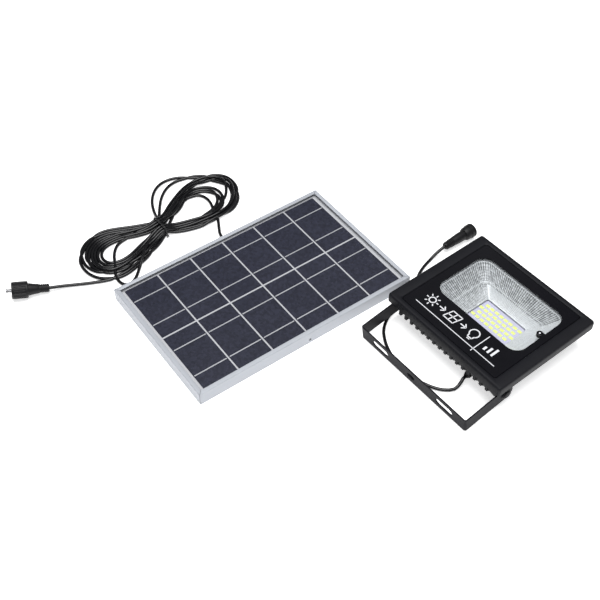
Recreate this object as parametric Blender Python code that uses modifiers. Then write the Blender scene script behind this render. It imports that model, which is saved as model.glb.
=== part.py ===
"""Solar flood light: a lamp head hinged on a U-shaped yoke, and the framed solar panel that
charges it through a long lead. Both lie face up on the floor, z = 0.

Run it with: blender --background --python part.py
Metres, +Z up. The origin is on the floor under the middle of the lamp and the panel."""

import math

import bmesh
import bpy
from mathutils import Matrix, Vector

MM = 0.001
GAP = 0.3 * MM
NAME = "Solar flood light"

# Where the two units lie on the floor.
HEAD_AT = Vector((98.7, 106.2, 0)) * MM
PANEL_AT = Vector((-85.7, -38.7, 0)) * MM
PANEL_TURN = math.radians(87.5)

# Solar panel, in its own frame: long side along X.
PANEL_LONG = 262 * MM
PANEL_SHORT = 168 * MM
RAIL_HIGH = 15 * MM
RAIL_WALL = 1.3 * MM
RAIL_DEEP = 7.5 * MM
LIP_WIDE = 5.0 * MM
LIP_THICK = 1.0 * MM
SHELF_TOP = 9.5 * MM
DUCT_LOW, DUCT_HIGH, DUCT_DEEP = 1.2 * MM, 8.2 * MM, 6.3 * MM
SHEET_LEVELS = {"back_sheet": (9.8 * MM, 10.2 * MM), "cell_layer": (10.5 * MM, 11.0 * MM),
                "panel_glass": (11.3 * MM, 13.7 * MM)}
DRAIN_HOLE_R, DRAIN_HOLE_Z = 1.5 * MM, 4.7 * MM
KEY_LEG, KEY_WIDE = 24 * MM, 4.4 * MM
JUNCTION_AT = Vector((7.2, 50, 0)) * MM
JUNCTION_SIZE = Vector((46, 30, 7.6)) * MM
JUNCTION_TOP = 9.5 * MM
LEAD_HOLE_R, LEAD_HOLE_Z = 3.6 * MM, 4.9 * MM

# Leads and the connectors on their ends.
LEAD_R = 1.8 * MM
HANK_HIGH = 11 * MM
PLUG_AT = Vector((-209.5, 145.0, 10.3)) * MM
PLUG_TURN, PLUG_RISE = math.radians(158.7), math.radians(9)
SOCKET_AT = Vector((-108.5, 46.6, 8.3)) * MM

# Lamp head, in its own frame: as read, X is to the right, Y is up and Z is out of the glass.
GLASS_TOP, GLASS_THICK = 38.2 * MM, 4 * MM
WINDOW_AT = Vector((1.2, 12.3, 0)) * MM
LED_AT = Vector((4, 9.5, 11.2)) * MM
FIN_COUNT, FIN_PITCH, FIN_THICK = 16, 8 * MM, 4 * MM
FIRST_FIN_X, SHORT_FINS, GLAND_FIN = -58.4 * MM, 2, 11
FIN_TOP, FIN_FRONT_TOP, FIN_FRONT_LOW = 24.5 * MM, -65.3 * MM, -51.4 * MM
FIN_FAR_TOP, FIN_FAR_LOW = 64.5 * MM, 50 * MM
PIVOT_Y, PIVOT_Z = -50.5 * MM, 16.2 * MM
SCREW_PLACES = [(sx * 70.2 * MM, y * MM) for sx in (-1, 1) for y in (-20, 52)]
GLAND_X, GLAND_Z = 31.4 * MM, 8 * MM

# Yoke: a flat strip bent into a U, seen along its width.
YOKE_HALF = 74 * MM
YOKE_STRIP = 1.5 * MM
YOKE_WIDE = 18 * MM
YOKE_CORNER = 2.5 * MM
YOKE_REACH = 53.68 * MM
YOKE_DROOP = math.radians(7.63)
YOKE_SLOTS = [(-45.2 * MM, 22.5 * MM, 7.6 * MM), (-0.7 * MM, 10 * MM, 6 * MM),
              (45.2 * MM, 22.5 * MM, 7.6 * MM)]
PIVOT_HOLE_R = 3.0 * MM
BOLT_R = 2.6 * MM

# Routes of the leads, by hand: the panel's in the panel's frame, the lamp's in the lamp's.
PANEL_LEAD_ROUTE = [(7.2, 65.6, 4.9), (7.2, 76, 4.9), (7.2, 87, 4.9), (8.4, 95, 3.6), (11, 102, 2.2),
                    (14, 108, 1.9), (17.4, 113.8, 1.9)]
TAIL_ROUTE = [(-141.5, 117.8, 1.9), (-146, 119.8, 1.9), (-156, 124.8, 2.1),
              (-166, 129.2, 3.0), (-174, 132, 4.4), (-180.1, 134.2, 5.5)]
LAMP_LEAD_ROUTE = [(31.4, -60.8, 8), (31.8, -64, 7.3), (32.8, -68, 5.0), (33.4, -72, 2.9),
                   (33.2, -76.3, 1.9), (31, -81, 1.9), (26.5, -86, 1.9), (20.5, -90.4, 1.9),
                   (11, -94.8, 1.9), (0, -97.8, 1.9), (-12, -98.4, 1.9), (-24, -98, 1.9),
                   (-36, -96.2, 1.9), (-47, -92.4, 1.9), (-56, -87.6, 1.9), (-64.4, -81.4, 1.9),
                   (-70.8, -73.6, 1.9), (-75.7, -64.3, 1.9), (-80, -51, 1.9), (-84, -37, 1.9),
                   (-88.5, -21, 1.9), (-94, -9, 1.9), (-100.3, 2, 1.9), (-104.8, 13.2, 1.9),
                   (-107.6, 24.6, 2.3), (-108.7, 32, 4.0), (-108.6, 38.5, 6.6), (-108.5, 45.7, 8.2)]
HANK_OUTLINE = [(-140, 130), (-130, 170), (-96, 182), (-62, 163), (-43, 155.5), (-28, 184), (8, 219),
                (44, 202), (74, 172), (58, 132), (20, 118), (-40, 132.5), (-66, 120), (-96, 103),
                (-124, 105)]


# ---------------------------------------------------------------- helpers

def clear_scene():
    for thing in list(bpy.data.objects):
        bpy.data.objects.remove(thing)
    collections = []
    for name in (NAME, "Cutters"):
        collection = bpy.data.collections.new(name)
        bpy.context.scene.collection.children.link(collection)
        collections.append(collection)
    return collections


PARTS, CUTTERS = clear_scene()


def material(name, colour, roughness, metallic=0.0, alpha=1.0):
    made = bpy.data.materials.new(name)
    made.use_nodes = True
    shader = made.node_tree.nodes["Principled BSDF"]
    shader.inputs["Base Color"].default_value = (*colour, 1)
    shader.inputs["Roughness"].default_value = roughness
    shader.inputs["Metallic"].default_value = metallic
    shader.inputs["Alpha"].default_value = alpha
    return made


MATERIALS = {
    "aluminium": material("anodised aluminium", (0.62, 0.64, 0.67), 0.38, 1.0),
    "glass": material("clear glass", (0.86, 0.9, 0.92), 0.05, 0.0, 0.3),
    "cells": material("silicon cells", (0.035, 0.037, 0.06), 0.35),
    "sheet": material("white back sheet", (0.85, 0.86, 0.87), 0.5),
    "black": material("black powder coat", (0.012, 0.012, 0.014), 0.42),
    "plastic": material("black plastic", (0.015, 0.015, 0.016), 0.5),
    "rubber": material("black rubber", (0.01, 0.01, 0.01), 0.7),
    "steel": material("zinc-plated steel", (0.6, 0.6, 0.6), 0.3, 1.0),
    "yoke": material("grey-black powder coat", (0.04, 0.038, 0.048), 0.45),
    "mirror": material("silvered reflector", (0.88, 0.89, 0.9), 0.15, 1.0),
    "board": material("white circuit board", (0.75, 0.75, 0.82), 0.4),
    "green_board": material("green circuit board", (0.02, 0.16, 0.06), 0.4),
    "battery": material("blue battery sleeve", (0.03, 0.11, 0.4), 0.35),
}


def empty(name, location=(0, 0, 0), rotation=(0, 0, 0), parent=None):
    made = bpy.data.objects.new(name, None)
    made.location, made.rotation_euler, made.parent = location, rotation, parent
    made.empty_display_size = 0.02
    PARTS.objects.link(made)
    return made


def add_object(name, mesh, finish, parent, location=(0, 0, 0), rotation=(0, 0, 0)):
    """A finish of None makes a cutter, which is left out of a render."""
    made = bpy.data.objects.new(name, mesh)
    made.location, made.rotation_euler, made.parent = location, rotation, parent
    if finish is None:
        CUTTERS.objects.link(made)
        made.hide_render = True
        made.display_type = "WIRE"
    else:
        PARTS.objects.link(made)
        mesh.materials.append(MATERIALS[finish])
    return made


def mesh_of(bm, name, smooth_angle=35):
    bmesh.ops.recalc_face_normals(bm, faces=bm.faces)
    mesh = bpy.data.meshes.new(name)
    bm.to_mesh(mesh)
    bm.free()
    mesh.shade_smooth()
    mesh.set_sharp_from_angle(angle=math.radians(smooth_angle))
    return mesh


def box(name, low, high, finish, parent, bevel=0.0):
    low, high = Vector(low), Vector(high)
    bm = bmesh.new()
    bmesh.ops.create_cube(bm, size=1, matrix=Matrix.Translation((low + high) / 2)
                          @ Matrix.Diagonal((*(high - low), 1)))
    made = add_object(name, mesh_of(bm, name), finish, parent)
    if bevel:
        rounding = made.modifiers.new("Rounding", "BEVEL")
        rounding.width, rounding.segments = bevel, 2
    return made


def cylinder(name, start, end, radius, finish, parent, sides=24):
    start, end = Vector(start), Vector(end)
    along = end - start
    place = Matrix.Translation((start + end) / 2) @ along.to_track_quat("Z", "Y").to_matrix().to_4x4()
    bm = bmesh.new()
    bmesh.ops.create_cone(bm, cap_ends=True, segments=sides, radius1=radius, radius2=radius,
                          depth=along.length, matrix=place)
    return add_object(name, mesh_of(bm, name), finish, parent)


def rounded_ring(bm, half_x, half_y, radius, z, centre=(0, 0), steps=4):
    """The vertices of a rectangle with round corners, anticlockwise from the right side."""
    ring = []
    for corner in range(4):
        sign_x, sign_y = ((1, 1), (-1, 1), (-1, -1), (1, -1))[corner]
        for step in range(steps + 1):
            angle = math.pi / 2 * (corner + step / steps)
            x = centre[0] + sign_x * (half_x - radius) + radius * math.cos(angle)
            y = centre[1] + sign_y * (half_y - radius) + radius * math.sin(angle)
            ring.append(bm.verts.new((x, y, z)))
    return ring


def loft(name, levels, finish, parent, closed=False, centre=(0, 0), steps=4):
    """A body through round-cornered rectangles, each (half x, half y, radius, z) in mm.

    closed=True joins the last to the first, which makes a frame with an opening."""
    bm = bmesh.new()
    rings = [rounded_ring(bm, *(value * MM for value in level), centre, steps) for level in levels]
    pairs = list(zip(rings, rings[1:]))
    if closed:
        pairs.append((rings[-1], rings[0]))
    else:
        bm.faces.new(rings[0])
        bm.faces.new(rings[-1])
    for lower, upper in pairs:
        for i, vert in enumerate(lower):
            following = (i + 1) % len(lower)
            bm.faces.new((vert, lower[following], upper[following], upper[i]))
    return add_object(name, mesh_of(bm, name), finish, parent)


def turned(name, profile, finish, parent, location=(0, 0, 0), rotation=(0, 0, 0), closed=False, sides=24):
    """A profile of (radius, height) in mm, running down its outer side, turned about local Z."""
    points = [(radius * MM, 0, height * MM) for radius, height in profile]
    edges = [(i, i + 1) for i in range(len(points) - 1)]
    if closed:
        edges.append((len(points) - 1, 0))
    mesh = bpy.data.meshes.new(name)
    mesh.from_pydata(points, edges, [])
    made = add_object(name, mesh, finish, parent, location, rotation)
    turn = made.modifiers.new("Turn", "SCREW")
    turn.steps = turn.render_steps = sides
    turn.use_merge_vertices = True
    turn.merge_threshold = 0.00001
    turn.use_smooth_shade = True
    return made


def outline_mesh(name, loops, half_thick):
    """A mesh made from closed 2D outlines in XY, the later ones being holes, extruded along Z."""
    curve = bpy.data.curves.new(name, "CURVE")
    curve.dimensions = "2D"
    curve.fill_mode = "BOTH"
    curve.extrude = half_thick
    for loop in loops:
        spline = curve.splines.new("POLY")
        spline.points.add(len(loop) - 1)
        for point, (x, y) in zip(spline.points, loop):
            point.co = (x, y, 0, 1)
        spline.use_cyclic_u = True
    return mesh_from_curve(name, curve)


def mesh_from_curve(name, curve):
    source = bpy.data.objects.new(name + " outline", curve)
    bpy.context.scene.collection.objects.link(source)
    graph = bpy.context.evaluated_depsgraph_get()
    mesh = bpy.data.meshes.new_from_object(source.evaluated_get(graph))
    bpy.data.objects.remove(source)
    bm = bmesh.new()
    bm.from_mesh(mesh)
    bmesh.ops.remove_doubles(bm, verts=bm.verts, dist=0.00001)
    mesh.materials.clear()
    return mesh_of(bm, name)


def cut(target, cutter, operation="DIFFERENCE"):
    change = target.modifiers.new(cutter.name, "BOOLEAN")
    change.operation, change.object = operation, cutter
    return target


def arc(centre, radius, start, end, steps=6):
    """Points on an arc, with its angles in degrees."""
    angles = [math.radians(start + (end - start) * i / steps) for i in range(steps + 1)]
    return [(centre[0] + radius * math.cos(a), centre[1] + radius * math.sin(a)) for a in angles]


def smooth_route(route, spacing):
    """Points about spacing apart on a Catmull-Rom curve through the route's own points."""
    knots = [Vector(p) * MM for p in route]
    knots = [2 * knots[0] - knots[1]] + knots + [2 * knots[-1] - knots[-2]]
    points = []
    for a, b, c, d in zip(knots, knots[1:], knots[2:], knots[3:]):
        steps = max(1, round((c - b).length / spacing))
        for i in range(steps):
            t = i / steps
            points.append(b + 0.5 * t * ((c - a) + t * (2 * a - 5 * b + 4 * c - d
                                                        + t * (3 * b - a - 3 * c + d))))
    return points + [knots[-2]]


def lead(name, route, parent):
    curve = bpy.data.curves.new(name, "CURVE")
    curve.dimensions = "3D"
    curve.bevel_depth = LEAD_R
    curve.bevel_resolution = 2
    curve.use_fill_caps = True
    points = smooth_route(route, 5 * LEAD_R)
    spline = curve.splines.new("POLY")
    spline.points.add(len(points) - 1)
    for point, place in zip(spline.points, points):
        point.co = (*place, 1)
    return add_object(name, curve, "rubber", parent)


# ---------------------------------------------------------------- solar panel

def panel_rail(name, length, half_across, turn, parent):
    """One mitred rail: a lip over the glass, a slot for the sheets and a hollow for the keys."""
    section = [(0, 0), (RAIL_DEEP, 0), (RAIL_DEEP, SHELF_TOP), (RAIL_WALL, SHELF_TOP),
               (RAIL_WALL, RAIL_HIGH - LIP_THICK), (LIP_WIDE, RAIL_HIGH - LIP_THICK),
               (LIP_WIDE, RAIL_HIGH - 0.3 * MM), (LIP_WIDE - 0.3 * MM, RAIL_HIGH),
               (0.6 * MM, RAIL_HIGH), (0, RAIL_HIGH - 0.6 * MM)]
    duct = [(RAIL_WALL, DUCT_LOW), (RAIL_WALL, DUCT_HIGH), (DUCT_DEEP, DUCT_HIGH), (DUCT_DEEP, DUCT_LOW)]
    mesh = outline_mesh(name, [section, duct], length / 2)
    # The section's x runs inward from the outer face, its y becomes height and its z the length.
    mesh.transform(Matrix(((0, 0, 1, 0), (1, 0, 0, -half_across), (0, 1, 0, 0), (0, 0, 0, 1))))
    rail = add_object(name, mesh, "aluminium", parent, rotation=(0, 0, turn))
    reach = 40 * MM
    for side in (-1, 1):
        wedge = box(f"{name} mitre {side}", (-reach, 0, -reach), (reach, reach, reach), None, rail)
        wedge.rotation_euler.z = math.radians(-45 * side)
        wedge.location = (Vector((side * length / 2, -half_across, 0))
                          - Vector((side, 1, 0)).normalized() * GAP / 2)
        cut(rail, wedge)
    return rail


def build_panel(parent):
    half_long, half_short = PANEL_LONG / 2, PANEL_SHORT / 2
    rails = {"panel_rail_front": (PANEL_LONG, half_short, 0),
             "panel_rail_right": (PANEL_SHORT, half_long, 90),
             "panel_rail_back": (PANEL_LONG, half_short, 180),
             "panel_rail_left": (PANEL_SHORT, half_long, 270)}
    for name, (length, half_across, degrees) in rails.items():
        rail = panel_rail(name, length, half_across, math.radians(degrees), parent)
        if length == PANEL_LONG:
            cut(rail, cylinder(f"{name} drain", (0, -half_across - MM, DRAIN_HOLE_Z),
                               (0, -half_across + 2.5 * MM, DRAIN_HOLE_Z), DRAIN_HOLE_R, None, rail, 16))
        if name == "panel_rail_back":
            side = -JUNCTION_AT.x
            cut(rail, cylinder("lead hole", (side, -half_across - MM, LEAD_HOLE_Z),
                               (side, -half_across + RAIL_DEEP + MM, LEAD_HOLE_Z), LEAD_HOLE_R, None, rail))
    inset = RAIL_WALL + GAP
    finishes = {"back_sheet": "sheet", "cell_layer": "cells", "panel_glass": "glass"}
    for name, (low, high) in SHEET_LEVELS.items():
        box(name, (inset - half_long, inset - half_short, low),
            (half_long - inset, half_short - inset, high), finishes[name], parent)
    build_corner_keys(half_long, half_short, parent)
    build_junction_box(parent)
    turned("lead_grommet", [(3.3, 7.9), (3.3, 0.4), (5, 0.4), (5, -1.1), (2.2, -1.1), (2.2, 7.9)], "rubber",
           parent, (JUNCTION_AT.x, half_short + 0.7 * MM, LEAD_HOLE_Z), (math.radians(90), 0, 0), True)


def build_corner_keys(half_long, half_short, parent):
    """L-shaped keys, pressed into the hollows of two rails at each corner."""
    inset = RAIL_WALL + GAP
    for number, (sx, sy) in enumerate(((-1, -1), (1, -1), (1, 1), (-1, 1)), 1):
        outline = [(0, 0), (KEY_LEG, 0), (KEY_LEG, KEY_WIDE), (KEY_WIDE, KEY_WIDE), (KEY_WIDE, KEY_LEG),
                   (0, KEY_LEG)]
        placed = [(sx * (half_long - inset - x), sy * (half_short - inset - y)) for x, y in outline]
        half_high = (DUCT_HIGH - DUCT_LOW) / 2 - GAP
        key = add_object(f"corner_key_{number}", outline_mesh("key", [placed], half_high), "plastic", parent)
        key.location.z = (DUCT_HIGH + DUCT_LOW) / 2


def build_junction_box(parent):
    half = JUNCTION_SIZE / 2
    low = JUNCTION_TOP - JUNCTION_SIZE.z
    centre = JUNCTION_AT
    wall, lid = 1.6 * MM, 1.5 * MM
    tub = box("junction_box", (centre.x - half.x, centre.y - half.y, low + lid + GAP),
              (centre.x + half.x, centre.y + half.y, JUNCTION_TOP), "plastic", parent, 0.8 * MM)
    cut(tub, box("junction hollow", (centre.x - half.x + wall, centre.y - half.y + wall, 0),
                 (centre.x + half.x - wall, centre.y + half.y - wall, JUNCTION_TOP - wall), None, parent))
    box("junction_box_lid", (centre.x - half.x, centre.y - half.y, low),
        (centre.x + half.x, centre.y + half.y, low + lid), "plastic", parent, 0.5 * MM)


def build_panel_lead(parent):
    lead("panel_lead", PANEL_LEAD_ROUTE, parent)
    lead("panel_lead_tail", TAIL_ROUTE, parent)
    curve = bpy.data.curves.new("hank", "CURVE")
    curve.dimensions = "2D"
    curve.fill_mode = "BOTH"
    curve.extrude = HANK_HIGH / 2
    curve.resolution_u = 4
    spline = curve.splines.new("BEZIER")
    spline.bezier_points.add(len(HANK_OUTLINE) - 1)
    for point, (x, y) in zip(spline.bezier_points, HANK_OUTLINE):
        point.co = (x * MM, y * MM, 0)
        point.handle_left_type = point.handle_right_type = "AUTO"
    spline.use_cyclic_u = True
    add_object("lead_hank", mesh_from_curve("lead_hank", curve), "rubber", parent,
               (0, 0, HANK_HIGH / 2))
    build_hank_tie(parent)


def build_hank_tie(parent):
    """A strap over the waist of the hank, down to the floor on both sides."""
    strap, thick, half_span = 4 * MM, 1.2 * MM, 15.2 * MM
    high = HANK_HIGH + GAP
    outline = [(-half_span - thick, 0), (-half_span - thick, high + thick),
               (half_span + thick, high + thick), (half_span + thick, 0),
               (half_span, 0), (half_span, high), (-half_span, high), (-half_span, 0)]
    add_object("hank_tie", outline_mesh("hank_tie", [outline], strap / 2), "rubber", parent,
               (-41.5 * MM, 144 * MM, 0), (math.radians(90), 0, math.radians(97)))


def build_plug(parent):
    """The waterproof plug. Its local +Z runs along the pin, and its nut turns about that axis."""
    turned("plug_body", [(0, 6), (5.2, 6), (5.2, -3.2), (7.1, -3.2), (7.1, -4.7), (6.5, -4.7), (6.5, -10),
                         (5.6, -14), (5, -19.5), (4.6, -19.8), (4.6, -30), (3.8, -30.4), (0, -30.4)],
           "rubber", parent)
    turned("plug_o_ring", [(6.3 + 0.8 * math.cos(a), -1.6 + 0.8 * math.sin(a))
                           for a in [-math.pi * i / 4 for i in range(8)]], "rubber", parent, closed=True)
    turned("plug_pin", [(0, 14.3), (1.7, 14.3), (2.1, 13.9), (2.1, 12.6), (1.8, 12.3), (1.8, 8.2),
                        (2.6, 7.8), (2.6, 6.3), (0, 6.3)], "steel", parent, sides=16)
    nut = turned("plug_nut", [(7.4, 8.5), (7.9, 8.5), (9.0, 7.4), (9.0, -7.9), (8.3, -8.5), (6.8, -8.5),
                              (6.8, -5), (7.4, -5)], "plastic", parent, closed=True, sides=32)
    ribs = 16
    bm = bmesh.new()
    for i in range(ribs):
        place = (Matrix.Rotation(2 * math.pi * i / ribs, 4, "Z") @ Matrix.Translation((8.95 * MM, 0, 0))
                 @ Matrix.Diagonal((0.6 * MM, 1.3 * MM, 12 * MM, 1)))
        bmesh.ops.create_cube(bm, size=1, matrix=place)
    cut(nut, add_object("nut ribs", mesh_of(bm, "nut ribs"), None, parent), "UNION")


# ---------------------------------------------------------------- lamp head

def fins_mesh():
    """The cooling fins, round at both ends. The first ones and the one at the gland are short."""
    bm = bmesh.new()
    radius = FIN_THICK / 2
    for number in range(FIN_COUNT):
        fronts = [FIN_FRONT_LOW, FIN_FRONT_TOP]
        if number < SHORT_FINS:
            fronts = [-50 * MM, -50 * MM]
        if number == GLAND_FIN:
            fronts = [-44 * MM, -44 * MM]
        x = FIRST_FIN_X + number * FIN_PITCH
        rings = []
        for front, far, z in zip(fronts, (FIN_FAR_LOW, FIN_FAR_TOP), (0, FIN_TOP)):
            plan = arc((x, far - radius), radius, 0, 180) + arc((x, front + radius), radius, 180, 360)
            rings.append([bm.verts.new((*point, z)) for point in plan])
        for i, vert in enumerate(rings[0]):
            following = (i + 1) % len(rings[0])
            bm.faces.new((vert, rings[0][following], rings[1][following], rings[1][i]))
        for ring in rings:
            bm.faces.new(ring)
    return mesh_of(bm, "fins")


def build_housing(parent):
    """The finned rear shell, with ears for the screws and bosses for the pivot bolts."""
    housing = loft("rear_housing", [(61, 50, 6, 3.2), (66.3, 59.8, 7, 20), (67.4, 61.4, 7.5, 24.5),
                                    (67.4, 61.4, 7.5, 29.2)], "black", parent)
    cut(housing, add_object("fins", fins_mesh(), None, parent), "UNION")
    for side in (-1, 1):
        cut(housing, cylinder(f"pivot boss {side}", (side * 57 * MM, PIVOT_Y, PIVOT_Z),
                              (side * 72.2 * MM, PIVOT_Y, PIVOT_Z), 6.5 * MM, None, parent), "UNION")
    for i, (x, y) in enumerate(SCREW_PLACES):
        cut(housing, cylinder(f"ear {i}", (x, y, 20.5 * MM), (x, y, 25.2 * MM), 3.8 * MM, None, parent, 20),
            "UNION")
    hollow = loft("housing hollow", [(58.3, 47, 4, 5.8), (63.6, 57, 5, 20), (64.8, 58.8, 5, 24.5),
                                     (64.8, 58.8, 5, 31)], None, parent)
    cut(housing, hollow)
    for side in (-1, 1):
        cut(housing, cylinder(f"bolt bore {side}", (side * 50 * MM, PIVOT_Y, PIVOT_Z),
                              (side * 74 * MM, PIVOT_Y, PIVOT_Z), BOLT_R + GAP, None, parent))
    for i, (x, y) in enumerate(SCREW_PLACES):
        cut(housing, cylinder(f"screw bore {i}", (x, y, 19 * MM), (x, y, 26 * MM), 1.8 * MM, None,
                              parent, 16))
    cut(housing, cylinder("gland bore", (GLAND_X, -65 * MM, GLAND_Z), (GLAND_X, -45 * MM, GLAND_Z),
                          3.5 * MM, None, parent))


def build_bezel(parent):
    levels = [(77, 67, 5.5, 25.5), (77, 67, 5.5, 27.3), (76.7, 66.6, 5.1, 27.8), (76.6, 66.3, 5, 36.6),
              (76.2, 65.9, 4.6, 38.2), (75, 65.1, 4, 39), (65.8, 61.4, 3, 38.7), (64.7, 60.6, 3, 37.9),
              (64.7, 60.6, 3, 33.4), (61.4, 57.2, 3, 33.4), (61.4, 57.2, 3, 30.8),
              (72.2, 63.2, 3, 30.8), (73.2, 64, 3.5, 25.5)]
    bezel = loft("front_bezel", levels, "black", parent, closed=True)
    for i, (x, y) in enumerate(SCREW_PLACES):
        cut(bezel, cylinder(f"bezel bore {i}", (x, y, 28 * MM), (x, y, 36.3 * MM), 1.8 * MM, None,
                            parent, 16))


def build_lamp_front(parent):
    bottom = (GLASS_TOP - GLASS_THICK) / MM
    top = GLASS_TOP / MM
    loft("lamp_glass", [(63.7, 59.6, 2.4, bottom), (64.3, 60.2, 3, bottom + 0.6),
                        (64.3, 60.2, 3, top - 0.6), (63.7, 59.6, 2.4, top)], "glass", parent)
    loft("glass_gasket", [(64.2, 60.1, 2.8, 33.7), (64.2, 60.1, 2.8, 33.9), (62.2, 58.1, 2, 33.9),
                          (62.2, 58.1, 2, 33.7)], "rubber", parent, closed=True)
    loft("housing_seal", [(67, 61, 7, 29.5), (67, 61, 7, 30.5), (65.2, 59.2, 5.2, 30.5),
                          (65.2, 59.2, 5.2, 29.5)], "rubber", parent, closed=True)
    window = WINDOW_AT.xy
    reflector = loft("reflector", [(58, 38, 11, 33.1), (56.6, 36.6, 10, 32.9), (29.4, 16.8, 2, 13.2),
                                   (29.9, 17.3, 2.5, 12.6), (57.8, 37.8, 10.8, 32.3)], "mirror", parent,
                     closed=True, centre=window)
    move_inner = Vector((LED_AT.x - window.x, LED_AT.y - window.y))
    for vert in reflector.data.vertices:
        lean = max(0.0, (32.9 * MM - vert.co.z) / (20.5 * MM))
        vert.co.x += move_inner.x * lean
        vert.co.y += move_inner.y * lean
    build_led_board(parent)
    cylinder("remote_sensor", (53.6 * MM, 13.2 * MM, 33.3 * MM), (53.6 * MM, 13.2 * MM, 34 * MM), 2.6 * MM,
             "plastic", parent, 20)


def build_led_board(parent):
    """The board with its 32 light-emitting diodes soldered on, in four rows of eight."""
    half_x, half_y, thick = 28 * MM, 15.5 * MM, 1.6 * MM
    board = box("led_board", (LED_AT.x - half_x, LED_AT.y - half_y, LED_AT.z - thick),
                (LED_AT.x + half_x, LED_AT.y + half_y, LED_AT.z), "board", parent)
    columns, rows, pitch = 8, 4, 6.6 * MM
    bm = bmesh.new()
    for column in range(columns):
        for row in range(rows):
            x = LED_AT.x + (column - (columns - 1) / 2) * pitch
            y = LED_AT.y + (row - (rows - 1) / 2) * pitch
            place = Matrix.Translation((x, y, LED_AT.z)) @ Matrix.Diagonal((4.4 * MM, 3 * MM, 1.6 * MM, 1))
            bmesh.ops.create_cube(bm, size=1, matrix=place)
    cut(board, add_object("leds", mesh_of(bm, "leds"), None, parent), "UNION")
    return board


def build_electronics(parent):
    """Two battery cells in a tray under the printed glass, and the charge controller beside them."""
    middle, half_cell, wall, low = -8 * MM, 32.5 * MM, 1.5 * MM, 6.1 * MM
    near, far, bottom = -46 * MM, -19 * MM, 8.2 * MM
    room = half_cell + GAP
    tray = box("battery_tray", (middle - room - wall, near, low), (middle + room + wall, far, 22 * MM),
               "plastic", parent)
    cut(tray, box("tray room", (middle - room, near - MM, bottom), (middle + room, far + MM, 30 * MM),
                  None, parent))
    for number, y in enumerate((-43.7, -25.3), 1):
        cylinder(f"battery_cell_{number}", (middle - half_cell, y * MM, 17.6 * MM),
                 (middle + half_cell, y * MM, 17.6 * MM), 9.1 * MM, "battery", parent)
    box("control_board", (-56 * MM, -7 * MM, 7.2 * MM), (-30 * MM, 36 * MM, 8.8 * MM), "green_board", parent)


def build_fasteners(parent):
    for i, (x, y) in enumerate(SCREW_PLACES, 1):
        turned(f"bezel_screw_{i}", [(0, 35.6), (1.2, 35.6), (1.5, 35), (1.5, 20.2), (2.9, 20.2), (2.9, 18.6),
                                    (2.2, 17.9), (0, 17.9)], "steel", parent, (x, y, 0), sides=16)
    for name, side in (("left", -1), ("right", 1)):
        turn = (0, side * math.radians(90), 0)
        place = (0, PIVOT_Y, PIVOT_Z)
        turned(f"pivot_bolt_{name}", [(0, 76.7), (2.6, 76.7), (4.3, 76.2), (4.8, 75.2), (2.6, 75.2),
                                      (2.6, 60), (0, 60)], "yoke", parent, place, turn)
        turned(f"pivot_washer_{name}", [(5.8, 74.9), (5.8, 74.3), (2.9, 74.3), (2.9, 74.9)], "yoke", parent,
               place, turn, closed=True)


def build_gland(parent):
    """The lamp lead's gland: a body through the housing's wall, and the nut and nose outside it."""
    turned("lead_gland", [(2.2, 60.5), (2.7, 60.5), (3.0, 59.2), (3.7, 58.4), (3.9, 57.8), (3.9, 55.6),
                          (3.2, 55.6), (3.2, 48), (2.2, 48)], "rubber", parent, (GLAND_X, 0, GLAND_Z),
           (math.radians(90), 0, 0), True)


def build_yoke(parent):
    """The U-strip, in a frame at the pivot: its arms run to -Y and its strip is upright."""
    half, inner, corner = YOKE_HALF, YOKE_HALF - YOKE_STRIP, YOKE_CORNER
    reach, top = -YOKE_REACH, YOKE_WIDE / 2
    bend = corner - YOKE_STRIP
    outline = [(half, top), (inner, top)]
    outline += arc((inner - bend, reach + YOKE_STRIP + bend), bend, 0, -90, 3)
    outline += arc((bend - inner, reach + YOKE_STRIP + bend), bend, 270, 180, 3)
    outline += [(-inner, top), (-half, top)]
    outline += arc((corner - half, reach + corner), corner, 180, 270)
    outline += arc((half - corner, reach + corner), corner, 270, 360)
    yoke = add_object("yoke", outline_mesh("yoke", [outline], YOKE_WIDE / 2), "yoke", parent)
    side_view = [(-YOKE_REACH - 5 * MM, -top), *arc((0, 0), top, -90, 90, 12), (-YOKE_REACH - 5 * MM, top)]
    ends = outline_mesh("round ends", [side_view], YOKE_HALF + 5 * MM)
    ends.transform(Matrix(((0, 0, 1, 0), (1, 0, 0, 0), (0, 1, 0, 0), (0, 0, 0, 1))))
    cut(yoke, add_object("round ends", ends, None, parent), "INTERSECT")
    cut(yoke, cylinder("pivot holes", (-2 * half, 0, 0), (2 * half, 0, 0), PIVOT_HOLE_R, None, parent))
    for number, (x, slot_long, slot_wide) in enumerate(YOKE_SLOTS):
        radius = slot_wide / 2
        straight = slot_long / 2 - radius
        slot = [*arc((straight, 0), radius, -90, 90), *arc((-straight, 0), radius, 90, 270)]
        cutter = outline_mesh("slot", [slot], 6 * MM)
        cutter.transform(Matrix(((1, 0, 0, 0), (0, 0, 1, 0), (0, 1, 0, 0), (0, 0, 0, 1))))
        cutter.flip_normals()
        cut(yoke, add_object(f"slot {number}", cutter, None, parent, (x, reach, 0)))


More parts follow.
